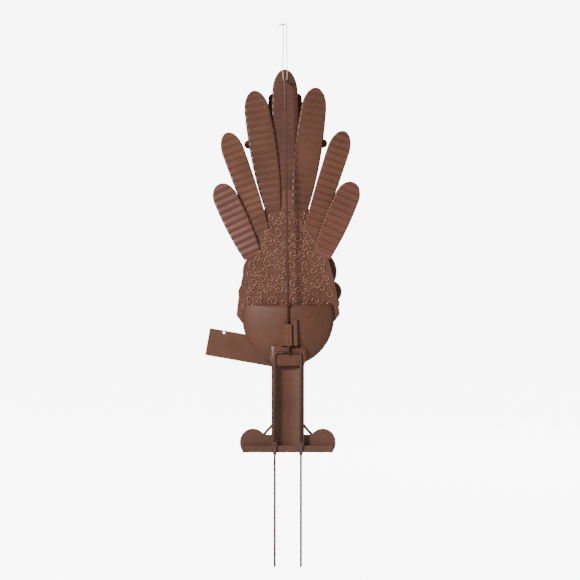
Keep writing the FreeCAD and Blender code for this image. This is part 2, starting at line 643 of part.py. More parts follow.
# The hanging loop: both strands start under the spine's turned-in top and rise to one knot.
TWINE_LEFT = [(-5.0, -16.0, 682.9), (-8.0, -16.0, 682.9), (-8.6, -16.0, 689.0), (-9.6, -16.0, 703.0),
              (-8.7, -16.0, 722.0), (-8.6, -16.0, 784.0)]
TWINE_RIGHT = [(-5.0, -16.0, 682.9), (-1.9, -16.0, 682.9), (-1.4, -16.0, 689.0), (-0.8, -16.0, 703.0),
               (-1.9, -16.0, 722.0), (-1.9, -16.0, 779.0), (-2.6, -16.0, 786.0), (-6.8, -16.0, 787.0)]


def twine(label, points):
    radii = []
    for before, corner, after in zip(points, points[1:], points[2:]):
        a, b = Vector(*before) - Vector(*corner), Vector(*after) - Vector(*corner)
        radii.append(0.45 * min(a.Length, b.Length) * math.tan(a.getAngle(b) / 2))
    shaped(label, tube(bent_path(points, radii), S.twine_radius))


def twine_knot():
    """The overhand knot that joins the strands, with its two cut ends lying to the left."""
    knot = Part.makeSphere(2.6, Vector(-8.6, -16.0, 786.0))
    ends = Part.makeCone(1.4, 0.9, 10.0, Vector(-8.6, -16.0, 786.0), Vector(-1, 0, -0.25))
    shaped("twine_knot", knot.fuse(ends).removeSplitter())


leg_channel()
foot_plate()
base_bar()
brace(-1, "left_brace")
brace(1, "right_brace")
support_frame()
stake(-1, "left_stake")
stake(1, "right_stake")
rivet(-1, "left_rivet")
rivet(1, "right_rivet")
back_panel()
outer_form, inner_form = bowl_form("bowl_outside", 0), bowl_form("bowl_inside", 1)
socket_bracket(outer_form)
belly_bowl(outer_form, inner_form)
spine_rod()
feathers()
pressed_shell("breast_shell", egg_outline(), S.body_sheet, "breast_depth", "breast_round", BIRD)
wing(-1, "left_wing", 8.0)
wing(1, "right_wing", 0.0)
head_pieces()
hat()
sign()
twine("twine_left", TWINE_LEFT)
twine("twine_right", TWINE_RIGHT)
twine_knot()

doc.recompute()
for obj in doc.Objects:
    if "Invalid" in obj.State or "Error" in obj.State:
        raise ValueError(f"{obj.Label} failed: {obj.State}")
os.makedirs("parts", exist_ok=True)
for part in parts:
    if part.Shape.isNull() or not part.Shape.isValid() or not part.Shape.Solids:
        raise ValueError(f"{part.Label} has no valid solid")
    part.Shape.exportStep(f"parts/{part.Label}.step")
print(len(parts), "sub-parts")
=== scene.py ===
import bpy
import bmesh
import math
import random
from mathutils import Matrix, Vector


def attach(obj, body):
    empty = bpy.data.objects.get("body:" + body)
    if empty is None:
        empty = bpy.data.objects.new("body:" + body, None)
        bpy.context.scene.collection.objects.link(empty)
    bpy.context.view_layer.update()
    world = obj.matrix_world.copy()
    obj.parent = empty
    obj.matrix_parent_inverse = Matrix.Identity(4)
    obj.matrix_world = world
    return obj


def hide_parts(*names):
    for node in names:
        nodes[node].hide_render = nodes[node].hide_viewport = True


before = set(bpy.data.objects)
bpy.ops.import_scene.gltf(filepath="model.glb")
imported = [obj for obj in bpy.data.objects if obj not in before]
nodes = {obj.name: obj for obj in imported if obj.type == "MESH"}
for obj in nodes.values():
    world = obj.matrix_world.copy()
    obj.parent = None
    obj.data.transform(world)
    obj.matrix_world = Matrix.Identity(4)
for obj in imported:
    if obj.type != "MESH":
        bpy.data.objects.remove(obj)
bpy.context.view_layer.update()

# ---- Camera, floor and light -------------------------------------------------------------------------------
# The turkey is seen square from behind, on a floor and against air that both look white from every side. A large
# soft lamp stands to the upper left, a weaker one to the right, and a third lights the painted front.
EYE = Vector((0.004, -4.0, 0.298))
lens = bpy.data.cameras.new("camera")
lens.sensor_width = 36.0
lens.lens = 134.6
camera = bpy.data.objects.new("camera", lens)
camera.location = EYE
camera.rotation_euler = (math.radians(90), 0, 0)
bpy.context.scene.collection.objects.link(camera)
bpy.context.scene.camera = camera

FLOOR_HEIGHT = -0.2102
FLOOR_HALF = 8.0
floor_mesh = bpy.data.meshes.new("studio_floor")
floor_mesh.from_pydata([(x * FLOOR_HALF, y * FLOOR_HALF, FLOOR_HEIGHT)
                        for x, y in ((-1, -1), (1, -1), (1, 1), (-1, 1))], [], [(0, 1, 2, 3)])
floor = bpy.data.objects.new("studio_floor", floor_mesh)
bpy.context.scene.collection.objects.link(floor)
paper = bpy.data.materials.new("backdrop_paper")
paper.use_nodes = True
paper_shader = paper.node_tree.nodes["Principled BSDF"]
paper_shader.inputs["Base Color"].default_value = (0.72, 0.72, 0.72, 1)
paper_shader.inputs["Roughness"].default_value = 0.9
paper_shader.inputs["Emission Color"].default_value = (1, 1, 1, 1)
WHITE = 8.0
AIR_LIGHT = 0.24


def white_to_camera(tree, strength, light):
    """Wires a strength that is white where the camera looks, and only a given light for everything else."""
    seen = tree.nodes.new("ShaderNodeLightPath")
    amount = tree.nodes.new("ShaderNodeMapRange")
    amount.inputs["To Min"].default_value = light
    amount.inputs["To Max"].default_value = WHITE
    tree.links.new(seen.outputs["Is Camera Ray"], amount.inputs["Value"])
    tree.links.new(amount.outputs["Result"], strength)


white_to_camera(paper.node_tree, paper_shader.inputs["Emission Strength"], 0.0)
floor_mesh.materials.append(paper)


def lamp(name, place, target, size, watts):
    """A square soft lamp at a place, facing a target."""
    light = bpy.data.lights.new(name, "AREA")
    light.size = size
    light.energy = watts
    stand = bpy.data.objects.new(name, light)
    stand.location = place
    stand.rotation_euler = (Vector(target) - Vector(place)).to_track_quat("-Z", "Y").to_euler()
    bpy.context.scene.collection.objects.link(stand)


lamp("key_lamp", (-2.0, -2.8, 1.8), (0, 0, 0.35), 0.8, 240)
lamp("side_lamp", (2.7, -1.7, 0.5), (0, 0, 0.3), 1.2, 20)
lamp("front_lamp", (1.6, 3.4, 1.7), (0, 0, 0.3), 1.0, 150)
sky = bpy.data.worlds.new("studio_air")
sky.use_nodes = True
air = sky.node_tree.nodes["Background"]
air.inputs["Color"].default_value = (1, 1, 1, 1)
white_to_camera(sky.node_tree, air.inputs["Strength"], AIR_LIGHT)
bpy.context.scene.world = sky

# ---- Hanging twine -----------------------------------------------------------------------------------------
# A thin natural jute twine is looped under the spine's turned-in top. Its two strands rise side by side to one
# overhand knot, whose cut ends lie to the left.
TWINE_RADIUS = 0.0008
LEFT_STRAND = [(-5.0, -16.0, 682.9), (-8.0, -16.0, 682.9), (-8.6, -16.0, 689.0), (-9.6, -16.0, 703.0),
               (-8.7, -16.0, 722.0), (-8.6, -16.0, 784.0)]
RIGHT_STRAND = [(-5.0, -16.0, 682.9), (-1.9, -16.0, 682.9), (-1.4, -16.0, 689.0), (-0.8, -16.0, 703.0),
                (-1.9, -16.0, 722.0), (-1.9, -16.0, 779.0), (-2.6, -16.0, 786.0), (-6.8, -16.0, 787.0)]


def principled(name, roughness, metallic=0.0):
    """A material, its node tree and its shader. Colour and normal are wired where the material is used."""
    material = bpy.data.materials.new(name)
    material.use_nodes = True
    shader = material.node_tree.nodes["Principled BSDF"]
    shader.inputs["Roughness"].default_value = roughness
    shader.inputs["Metallic"].default_value = metallic
    shader.inputs["Specular IOR Level"].default_value = 0.35
    return material, material.node_tree, shader


jute, tree, shader = principled("jute_twine", 0.9)
where = tree.nodes.new("ShaderNodeTexCoord")
lay = tree.nodes.new("ShaderNodeTexWave")
lay.bands_direction = "DIAGONAL"
lay.inputs["Scale"].default_value = 420.0
lay.inputs["Distortion"].default_value = 1.5
fibre = tree.nodes.new("ShaderNodeTexNoise")
fibre.inputs["Scale"].default_value = 900.0
tint = tree.nodes.new("ShaderNodeValToRGB")
tint.color_ramp.elements[0].color = (0.30, 0.23, 0.14, 1)
tint.color_ramp.elements[1].color = (0.66, 0.58, 0.43, 1)
bump = tree.nodes.new("ShaderNodeBump")
bump.inputs["Strength"].default_value = 0.8
bump.inputs["Distance"].default_value = 0.0003
tree.links.new(where.outputs["Object"], lay.inputs["Vector"])
tree.links.new(where.outputs["Object"], fibre.inputs["Vector"])
tree.links.new(fibre.outputs["Fac"], tint.inputs["Fac"])
tree.links.new(lay.outputs["Fac"], bump.inputs["Height"])
tree.links.new(tint.outputs["Color"], shader.inputs["Base Color"])
tree.links.new(bump.outputs["Normal"], shader.inputs["Normal"])


def strand(name, route):
    """One strand of twine: a round section along one open NURBS line."""
    curve = bpy.data.curves.new(name, "CURVE")
    curve.dimensions = "3D"
    curve.bevel_depth = TWINE_RADIUS
    curve.bevel_resolution = 3
    curve.use_fill_caps = True
    line = curve.splines.new("NURBS")
    line.points.add(len(route) - 1)
    for point, (x, y, z) in zip(line.points, route):
        point.co = (x / 1000, y / 1000, z / 1000, 1)
    line.order_u = 3
    line.use_endpoint_u = True
    line.resolution_u = 12
    curve.materials.append(jute)
    piece = bpy.data.objects.new(name, curve)
    bpy.context.scene.collection.objects.link(piece)
    return piece


left_strand = strand("left_strand", LEFT_STRAND)
right_strand = strand("right_strand", RIGHT_STRAND)

knot_mesh = bpy.data.meshes.new("overhand_knot")
knot_form = bmesh.new()
KNOT = Vector((-0.0086, -0.016, 0.786))
COIL_RADIUS = 0.0014
COIL_THICK = 0.0009
END_STEPS, END_SIDES = 8, 7


def knot_ring(form, centre, turn, across, thick, steps=20, sides=8):
    """One turn of twine round the knot."""
    rings = []
    for i in range(steps):
        a = 2 * math.pi * i / steps
        out = turn @ Vector((math.cos(a), math.sin(a), 0))
        up = turn @ Vector((0, 0, 1))
        rings.append([form.verts.new(centre + out * (across + thick * math.cos(b)) + up * thick * math.sin(b))
                      for b in [2 * math.pi * j / sides for j in range(sides)]])
    for i in range(steps):
        for j in range(sides):
            a, b = rings[i], rings[(i + 1) % steps]
            k = (j + 1) % sides
            form.faces.new((a[j], a[k], b[k], b[j]))


for tip, swing in ((0.3, 0.0), (-0.5, 0.9), (1.2, -0.5)):
    turn = Matrix.Rotation(tip, 3, "X") @ Matrix.Rotation(swing, 3, "Y")
    knot_ring(knot_form, KNOT, turn, COIL_RADIUS, COIL_THICK)
for drop, reach in ((0.0002, 0.0098), (-0.0010, 0.0072)):
    ends = []
    for i in range(END_STEPS + 1):
        t = i / END_STEPS
        centre = KNOT + Vector((-reach * t, -0.0004 * math.sin(3 * t), drop - 0.0024 * t * t))
        size = TWINE_RADIUS * (1 - 0.35 * t)
        ends.append([knot_form.verts.new(centre + Vector((0, size * math.cos(b), size * math.sin(b))))
                     for b in [2 * math.pi * j / END_SIDES for j in range(END_SIDES)]])
    for a, b in zip(ends, ends[1:]):
        for j in range(END_SIDES):
            k = (j + 1) % END_SIDES
            knot_form.faces.new((a[j], b[j], b[k], a[k]))
    knot_form.faces.new(ends[0])
    knot_form.faces.new(list(reversed(ends[-1])))
bmesh.ops.recalc_face_normals(knot_form, faces=knot_form.faces)
knot_form.to_mesh(knot_mesh)
knot_form.free()
for face in knot_mesh.polygons:
    face.use_smooth = True
knot_mesh.materials.append(jute)
knot = bpy.data.objects.new("overhand_knot", knot_mesh)
bpy.context.scene.collection.objects.link(knot)
for piece, node in ((left_strand, "twine_left"), (right_strand, "twine_right"), (knot, "twine_knot")):
    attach(piece, "bird")
    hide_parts(node)

# ---- Brown paint -------------------------------------------------------------------------------------------
# Nearly everything is sprayed with one thin reddish brown satin enamel over steel sheet. It lies a little uneven,
# with fine grain, pale dusty patches and a few darker, rustier clouds.
paint_group = bpy.data.node_groups.new("sprayed_enamel", "ShaderNodeTree")
for label, kind in (("Colour", "NodeSocketColor"), ("Cloud", "NodeSocketFloat"), ("Grain", "NodeSocketFloat"),
                    ("Gloss", "NodeSocketFloat")):
    paint_group.interface.new_socket(label, in_out="INPUT", socket_type=kind)
for label, kind in (("Colour", "NodeSocketColor"), ("Roughness", "NodeSocketFloat"),
                    ("Normal", "NodeSocketVector")):
    paint_group.interface.new_socket(label, in_out="OUTPUT", socket_type=kind)
g = paint_group.nodes
entry, leave = g.new("NodeGroupInput"), g.new("NodeGroupOutput")
place = g.new("ShaderNodeTexCoord")
cloud, grain, speck = (g.new("ShaderNodeTexNoise") for _ in range(3))
cloud.inputs["Scale"].default_value = 16.0
cloud.inputs["Detail"].default_value = 4.0
grain.inputs["Scale"].default_value = 650.0
grain.inputs["Detail"].default_value = 3.0
speck.inputs["Scale"].default_value = 140.0
speck.inputs["Detail"].default_value = 5.0
cloud_range = g.new("ShaderNodeMapRange")
cloud_range.inputs["From Min"].default_value = 0.3
cloud_range.inputs["From Max"].default_value = 0.7
cloud_range.inputs["To Min"].default_value = 0.84
cloud_range.inputs["To Max"].default_value = 1.16
speck_range = g.new("ShaderNodeMapRange")
speck_range.inputs["From Min"].default_value = 0.62
speck_range.inputs["From Max"].default_value = 0.72
shade = g.new("ShaderNodeMix")
shade.data_type = "RGBA"
shade.blend_type = "MULTIPLY"
dust = g.new("ShaderNodeMix")
dust.data_type = "RGBA"
dust.inputs["B"].default_value = (0.20, 0.10, 0.07, 1)
dust_amount = g.new("ShaderNodeMath")
dust_amount.operation = "MULTIPLY"
dust_amount.inputs[1].default_value = 0.14
rough = g.new("ShaderNodeMath")
rough.operation = "MULTIPLY_ADD"
rough.inputs[1].default_value = 0.22
relief = g.new("ShaderNodeBump")
relief.inputs["Distance"].default_value = 0.0002
grey = g.new("ShaderNodeCombineColor")
link = paint_group.links.new
for texture in (cloud, grain, speck):
    link(place.outputs["Object"], texture.inputs["Vector"])
link(cloud.outputs["Fac"], cloud_range.inputs["Value"])
for channel in ("Red", "Green", "Blue"):
    link(cloud_range.outputs["Result"], grey.inputs[channel])
link(entry.outputs["Cloud"], shade.inputs["Factor"])
link(entry.outputs["Colour"], shade.inputs["A"])
link(grey.outputs["Color"], shade.inputs["B"])
link(speck.outputs["Fac"], speck_range.inputs["Value"])
link(speck_range.outputs["Result"], dust_amount.inputs[0])
link(dust_amount.outputs["Value"], dust.inputs["Factor"])
link(shade.outputs["Result"], dust.inputs["A"])
link(cloud.outputs["Fac"], rough.inputs[0])
link(entry.outputs["Gloss"], rough.inputs[2])
link(grain.outputs["Fac"], relief.inputs["Height"])
link(entry.outputs["Grain"], relief.inputs["Strength"])
link(dust.outputs["Result"], leave.inputs["Colour"])
link(rough.outputs["Value"], leave.inputs["Roughness"])
link(relief.outputs["Normal"], leave.inputs["Normal"])


def enamel(name, colour, grain=0.25, gloss=0.26, front=None):
    """Sprayed enamel; a higher gloss value is duller. Faces that look to the bird's front get the front colour."""
    material, tree, shader = principled(name, 0.45)
    coat = tree.nodes.new("ShaderNodeGroup")
    coat.node_tree = paint_group
    coat.inputs["Colour"].default_value = (*colour, 1)
    coat.inputs["Cloud"].default_value = 1.0
    coat.inputs["Grain"].default_value = grain
    coat.inputs["Gloss"].default_value = gloss
    tree.links.new(coat.outputs["Roughness"], shader.inputs["Roughness"])
    tree.links.new(coat.outputs["Normal"], shader.inputs["Normal"])
    if front is None:
        tree.links.new(coat.outputs["Colour"], shader.inputs["Base Color"])
        return material
    facing = tree.nodes.new("ShaderNodeNewGeometry")
    split = tree.nodes.new("ShaderNodeSeparateXYZ")
    mask = tree.nodes.new("ShaderNodeMapRange")
    mask.inputs["From Min"].default_value = 0.10
    mask.inputs["From Max"].default_value = 0.25
    pair = tree.nodes.new("ShaderNodeMix")
    pair.data_type = "RGBA"
    pair.inputs["B"].default_value = (*front, 1)
    tree.links.new(facing.outputs["Normal"], split.inputs["Vector"])
    tree.links.new(split.outputs["Y"], mask.inputs["Value"])
    tree.links.new(mask.outputs["Result"], pair.inputs["Factor"])
    tree.links.new(coat.outputs["Colour"], pair.inputs["A"])
    tree.links.new(pair.outputs["Result"], shader.inputs["Base Color"])
    return material


def smoothed(node, name, material, body, angle=32):
    """A smooth-shaded copy of a CAD node: its triangles joined, with edges kept sharp where sheet is folded."""
    mesh = nodes[node].data.copy()
    form = bmesh.new()
    form.from_mesh(mesh)
    bmesh.ops.remove_doubles(form, verts=form.verts, dist=1e-6)
    form.to_mesh(mesh)
    form.free()
    mesh.name = name
    mesh.materials.clear()
    mesh.materials.append(material)
    mesh.shade_smooth()
    mesh.set_sharp_from_angle(angle=math.radians(angle))
    piece = bpy.data.objects.new(name, mesh)
    bpy.context.scene.collection.objects.link(piece)
    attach(piece, body)
    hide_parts(node)
    return piece


# ---- Tail feathers -----------------------------------------------------------------------------------------
# Seven feathers are blanked from corrugated steel sheet, each a long paddle with a half-oval tip and a short flat
# tab. The tabs are spot welded to the panel's rear face, and each lower pair laps over the pair above it.
RIB_PITCH = 0.0126
TAB = 0.006
GAUGE = 0.0008
LEAN = Matrix.Translation((0, 0, 0.1955)) @ Matrix.Rotation(math.radians(-0.8), 4, "Y") \
    @ Matrix.Translation((0, 0, -0.1955))
BIRD = Matrix.Translation((0.0013, 0, 0)) @ LEAN

feather_tree = bpy.data.node_groups.new("corrugated_feather", "GeometryNodeTree")
feather_inputs = {}
for label, start in (("Length", 0.222), ("Base Half Width", 0.0138), ("Belly Half Width", 0.0253),
                     ("Tip Half Width", 0.0236), ("Tip Length", 0.044), ("Rib Pitch", RIB_PITCH),
                     ("Rib Height", 0.0025), ("Flat Tab", TAB)):
    socket = feather_tree.interface.new_socket(label, in_out="INPUT", socket_type="NodeSocketFloat")
    socket.default_value = start
    feather_inputs[label] = socket.identifier
coat_socket = feather_tree.interface.new_socket("Coat", in_out="INPUT", socket_type="NodeSocketMaterial")
feather_inputs["Coat"] = coat_socket.identifier
feather_tree.interface.new_socket("Feather", in_out="OUTPUT", socket_type="NodeSocketGeometry")
gn = feather_tree.nodes
sizes = gn.new("NodeGroupInput")
done = gn.new("NodeGroupOutput")


def calc(operation, *values):
    """A maths node of the feather's tree, fed by sockets or plain numbers."""
    node = gn.new("ShaderNodeMath")
    node.operation = operation
    for socket, value in zip(node.inputs, values):
        if isinstance(value, (int, float)):
            socket.default_value = value
        else:
            feather_tree.links.new(value, socket)
    return node.outputs["Value"]


blank = gn.new("GeometryNodeMeshGrid")
blank.inputs["Size X"].default_value = 2.0
blank.inputs["Size Y"].default_value = 1.0
blank.inputs["Vertices X"].default_value = 15
blank.inputs["Vertices Y"].default_value = 235
# The half width follows a cubic from the base, over a slightly bulged belly, to the tip.
BULGE = 1.07
at = gn.new("GeometryNodeInputPosition")
parts = gn.new("ShaderNodeSeparateXYZ")
feather_tree.links.new(at.outputs["Position"], parts.inputs["Vector"])
across = parts.outputs["X"]
along = calc("ADD", parts.outputs["Y"], 0.5)
KNEE_SHARE = 0.78
shaft = calc("MINIMUM", calc("DIVIDE", along, KNEE_SHARE), 1.0)
swing = calc("MULTIPLY", calc("MAXIMUM", calc("DIVIDE", calc("SUBTRACT", along, KNEE_SHARE), 1 - KNEE_SHARE), 0.0),
             math.pi / 2)
knee = calc("SUBTRACT", sizes.outputs["Length"], sizes.outputs["Tip Length"])
tip_rise = calc("MULTIPLY", sizes.outputs["Tip Length"], calc("SINE", swing))
height = calc("ADD", calc("MULTIPLY", shaft, knee), tip_rise)
rest = calc("SUBTRACT", 1.0, shaft)
w0 = calc("MULTIPLY", sizes.outputs["Base Half Width"], calc("POWER", rest, 3.0))
w1 = calc("MULTIPLY", sizes.outputs["Belly Half Width"],
          calc("MULTIPLY", calc("MULTIPLY", calc("POWER", rest, 2.0), shaft), 3.0))
w2 = calc("MULTIPLY", sizes.outputs["Belly Half Width"],
          calc("MULTIPLY", calc("MULTIPLY", rest, calc("POWER", shaft, 2.0)), 3.0 * BULGE))
w3 = calc("MULTIPLY", sizes.outputs["Tip Half Width"], calc("POWER", shaft, 3.0))
width = calc("MULTIPLY", calc("ADD", calc("ADD", w0, w1), calc("ADD", w2, w3)), calc("COSINE", swing))
x = calc("MULTIPLY", across, width)
phase = calc("DIVIDE", calc("SUBTRACT", height, sizes.outputs["Flat Tab"]), sizes.outputs["Rib Pitch"])
turns = calc("MULTIPLY", calc("MAXIMUM", phase, 0.0), 2 * math.pi)
wave = calc("MULTIPLY", calc("SUBTRACT", 1.0, calc("COSINE", turns)), 0.5)
y = calc("MULTIPLY", calc("MULTIPLY", wave, sizes.outputs["Rib Height"]), -1.0)
joined = gn.new("ShaderNodeCombineXYZ")
feather_tree.links.new(x, joined.inputs["X"])
feather_tree.links.new(y, joined.inputs["Y"])
feather_tree.links.new(height, joined.inputs["Z"])
shape = gn.new("GeometryNodeSetPosition")
feather_tree.links.new(blank.outputs["Mesh"], shape.inputs["Geometry"])
feather_tree.links.new(joined.outputs["Vector"], shape.inputs["Position"])
weld = gn.new("GeometryNodeMergeByDistance")
weld.inputs["Distance"].default_value = 0.00002
smooth = gn.new("GeometryNodeSetShadeSmooth")
coat_node = gn.new("GeometryNodeSetMaterial")
feather_tree.links.new(shape.outputs["Geometry"], weld.inputs["Geometry"])
feather_tree.links.new(weld.outputs["Geometry"], smooth.inputs["Geometry"])
feather_tree.links.new(smooth.outputs["Geometry"], coat_node.inputs["Geometry"])
feather_tree.links.new(sizes.outputs["Coat"], coat_node.inputs["Material"])
feather_tree.links.new(coat_node.outputs["Geometry"], done.inputs["Feather"])


def make_feather(name, node, widths, length, rib_height, place, material):
    """Runs the feather's tree, gives the sheet its gauge, and sets it in its place on the bird."""
    holder = bpy.data.objects.new(name, bpy.data.meshes.new(name))
    bpy.context.scene.collection.objects.link(holder)
    modifier = holder.modifiers.new("corrugation", "NODES")
    modifier.node_group = feather_tree
    labels = ("Base Half Width", "Belly Half Width", "Tip Half Width", "Tip Length")
    for label, value in zip(labels, widths):
        modifier[feather_inputs[label]] = value
    modifier[feather_inputs["Length"]] = length
    modifier[feather_inputs["Rib Height"]] = rib_height
    modifier[feather_inputs["Coat"]] = material
    ready = bpy.data.meshes.new_from_object(holder.evaluated_get(bpy.context.evaluated_depsgraph_get()))
    holder.modifiers.remove(modifier)
    holder.data = ready
    form = bmesh.new()
    form.from_mesh(ready)
    bmesh.ops.recalc_face_normals(form, faces=form.faces)
    if sum(face.normal.y * face.calc_area() for face in form.faces) > 0:
        bmesh.ops.reverse_faces(form, faces=form.faces)
    form.to_mesh(ready)
    form.free()
    ready.transform(BIRD @ place)
    ready.name = name
    gauge = holder.modifiers.new("gauge", "SOLIDIFY")
    gauge.thickness = GAUGE
    gauge.offset = 1.0
    gauge.use_even_offset = True
    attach(holder, "bird")
    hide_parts(node)


def tail_place(side, x, z, angle, back):
    """The place of one feather of a pair: its foot, its splay and how far its tip leans back."""
    turn = Matrix.Rotation(math.radians(side * angle), 4, "Y") @ Matrix.Rotation(math.radians(back), 4, "X")
    return Matrix.Translation((side * x, 0, z)) @ turn


LONG = (0.0138, 0.0253, 0.0236, 0.044)
MIDDLE = (0.0136, 0.0195, 0.0208, 0.037)
LOW = (0.0170, 0.0230, 0.0226, 0.031)
gold = enamel("feather_gold", (0.066, 0.022, 0.014), front=(0.42, 0.20, 0.035))
make_feather("center_tail_feather", "center_feather", LONG, 0.222, 0.001,
             Matrix.Translation((0, 0.001, 0.483)), gold)
for word, side in (("left", -1), ("right", 1)):
    rust = enamel(f"feather_rust_{word}", (0.071, 0.024, 0.0115), front=(0.33, 0.075, 0.02))
    wine = enamel(f"feather_wine_{word}", (0.095, 0.034, 0.019), gloss=0.16, front=(0.19, 0.022, 0.018))
    olive = enamel(f"feather_olive_{word}", (0.104, 0.037, 0.024), gloss=0.16, front=(0.12, 0.11, 0.03))
    make_feather(f"upper_tail_feather_{word}", f"upper_feather_{word}", LONG, 0.225 + 0.004 * (side > 0), 0.0012,
                 tail_place(side, 0.0247, 0.4435, 8.4, 1.6), rust)
    make_feather(f"middle_tail_feather_{word}", f"middle_feather_{word}", MIDDLE, 0.199, 0.0025,
                 tail_place(side, 0.0443, 0.401, 18.9, 5.0), wine)
    make_feather(f"lower_tail_feather_{word}", f"lower_feather_{word}", LOW, 0.148, 0.0025,
                 tail_place(side, 0.0636, 0.3605, 24.3, 7.5), olive)

# ---- Back panel with pressed scrolls ------------------------------------------------------------------------
# A bell-shaped sheet panel closes the back between feathers and bowl. Curling vines with leaves are
# pressed into it from the front, so they stand out of its rear face as soft ridges.
panel_paint = enamel("panel_enamel", (0.083, 0.031, 0.018), gloss=0.26, front=(0.30, 0.14, 0.03))
smoothed("back_panel", "bell_panel", panel_paint, "bird")
random.seed(11)
CURL_STEPS = 33
TAIL_STEPS = 8
TAIL_BEND = 0.16
SCROLL_LOW, SCROLL_HIGH = 0.262, 0.441
SCROLL_TRIES = 7000
RIDGE_BACK = 0.0004


def spiral(radius, turns, hand):
    """The middle line of one curl, from its tight eye to its open tail."""
    points = []
    for i in range(CURL_STEPS + 1):
        t = i / CURL_STEPS
        a = 2 * math.pi * turns * t
        r = radius * (0.10 + 0.90 * t)
        points.append((hand * r * math.cos(a), r * math.sin(a)))
    bend = -hand * TAIL_BEND
    for _ in range(TAIL_STEPS):
        last, before = points[-1], points[-2]
        step = (last[0] - before[0], last[1] - before[1])
        points.append((last[0] + step[0] * math.cos(bend) - step[1] * math.sin(bend),
                       last[1] + step[0] * math.sin(bend) + step[1] * math.cos(bend)))
    return points


def panel_half(z):
    """Half the panel's width at a height, where the scrolls may lie."""
    steps = [(0.252, 0.0925), (0.268, 0.089), (0.300, 0.084), (0.346, 0.073), (0.3605, 0.071), (0.401, 0.052),
             (0.447, 0.035)]
    for (z0, w0), (z1, w1) in zip(steps, steps[1:]):
        if z <= z1:
            return w0 + (w1 - w0) * (z - z0) / (z1 - z0)
    return 0.0


curls = bpy.data.curves.new("curls", "CURVE")
curls.dimensions = "3D"
curls.bevel_depth = 0.00135
curls.bevel_resolution = 2


def ridge(points, swell=1.0):
    """One raised ridge along points of the panel's face, thin at both ends and broadest in the middle."""
    line = curls.splines.new("POLY")
    line.points.add(len(points) - 1)
    for i, (point, (x, z)) in enumerate(zip(line.points, points)):
        point.co = (x, -0.0001, z, 1)
        t = i / (len(points) - 1)
        point.radius = 0.3 + swell * math.sin(math.pi * min(max(t, 0.03), 0.97))


placed = []
for _ in range(SCROLL_TRIES):
    z = random.uniform(SCROLL_LOW, SCROLL_HIGH)
    half = panel_half(z) - 0.007
    x = random.uniform(-half, half)
    size = random.uniform(0.0052, 0.0105)
    if all(math.hypot(x - a, z - b) > size + c for a, b, c in placed):
        placed.append((x, z, size))
for x, z, size in placed:
    angle, hand = random.uniform(0, 6.28), random.choice((-1, 1))
    turned = [(x + u * math.cos(angle) - v * math.sin(angle), z + u * math.sin(angle) + v * math.cos(angle))
              for u, v in spiral(size, random.uniform(1.1, 1.7), hand)]
    ridge([p for p in turned if abs(p[0]) < panel_half(p[1]) - 0.002 and 0.253 < p[1] < 0.4455] or turned[:3])
for x, z, size in placed:
    for a in (random.uniform(0, 2.1), random.uniform(2.1, 4.2), random.uniform(4.2, 6.28)):
        start = (x + 1.25 * size * math.cos(a), z + 1.25 * size * math.sin(a))
        leaf = [(start[0] + 0.005 * t * math.cos(a + 0.9 * t), start[1] + 0.005 * t * math.sin(a + 0.9 * t))
                for t in (0, 0.25, 0.5, 0.75, 1.0)]
        if all(abs(p[0]) < panel_half(p[1]) - 0.003 and 0.254 < p[1] < 0.4445 for p in leaf):
            ridge(leaf, swell=1.5)
curl_holder = bpy.data.objects.new("pressed_scrolls", curls)
bpy.context.scene.collection.objects.link(curl_holder)
scroll_mesh = bpy.data.meshes.new_from_object(curl_holder.evaluated_get(bpy.context.evaluated_depsgraph_get()))
bpy.data.objects.remove(curl_holder)
for vertex in scroll_mesh.vertices:
    vertex.co.y = min(vertex.co.y * 0.95, RIDGE_BACK)
scroll_mesh.transform(BIRD)
scroll_mesh.shade_smooth()
scroll_mesh.materials.clear()
# The ridges get a lighter brown than the panel: a painted highlight along them.
scroll_mesh.materials.append(enamel("scroll_painted_highlight", (0.140, 0.058, 0.035), grain=0.1, gloss=0.24))
scrolls = bpy.data.objects.new("pressed_scrolls", scroll_mesh)
bpy.context.scene.collection.objects.link(scrolls)
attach(scrolls, "bird")

# ---- Belly bowl, spine and socket ---------------------------------------------------------------------------
# The belly is a deep-drawn half bowl with a rolled upper shoulder. The long spine wire is welded to it at its foot
# and turns in at the feather's tip. A folded socket below it, with thin seams, slips over the stand's tongue.
bowl_paint = enamel("bowl_enamel", (0.075, 0.025, 0.011), gloss=0.46)
smoothed("belly_bowl", "drawn_bowl", bowl_paint, "bird", 50)
wire_paint = enamel("wire_enamel", (0.060, 0.026, 0.016), gloss=0.34)
smoothed("spine_rod", "spine_wire", wire_paint, "bird", 50)


def repaint(node, material):
    """Puts one material on a CAD node that is shown as it is."""
    nodes[node].data.materials.clear()
    nodes[node].data.materials.append(material)


repaint("socket_bracket", enamel("socket_enamel", (0.088, 0.032, 0.017), gloss=0.24))

SEAM_STEPS, SEAM_SIDES = 14, 8
SEAM_LOW = 0.1965
SEAMS = ((-0.0052, -0.0346, 0.2352, 0.0009), (-0.0012, -0.0346, 0.2352, 0.0007),
         (0.0050, -0.0346, 0.2352, 0.0009), (0.0103, -0.0296, 0.2438, 0.0008))
seams = bmesh.new()
for x, deep, high, thick in SEAMS:
    rings = []
    for i in range(SEAM_STEPS + 1):
        t = i / SEAM_STEPS
        size = thick * min(1.0, 0.45 + 5 * t, 0.45 + 5 * (1 - t))
        z = SEAM_LOW + (high - SEAM_LOW) * t
        rings.append([seams.verts.new((x + size * math.cos(b), deep + size * math.sin(b), z))
                      for b in [2 * math.pi * j / SEAM_SIDES for j in range(SEAM_SIDES)]])
    for lower, upper in zip(rings, rings[1:]):
        for j in range(SEAM_SIDES):
            k = (j + 1) % SEAM_SIDES
            seams.faces.new((lower[j], lower[k], upper[k], upper[j]))
    seams.faces.new(list(reversed(rings[0])))
    seams.faces.new(rings[-1])
bmesh.ops.recalc_face_normals(seams, faces=seams.faces)
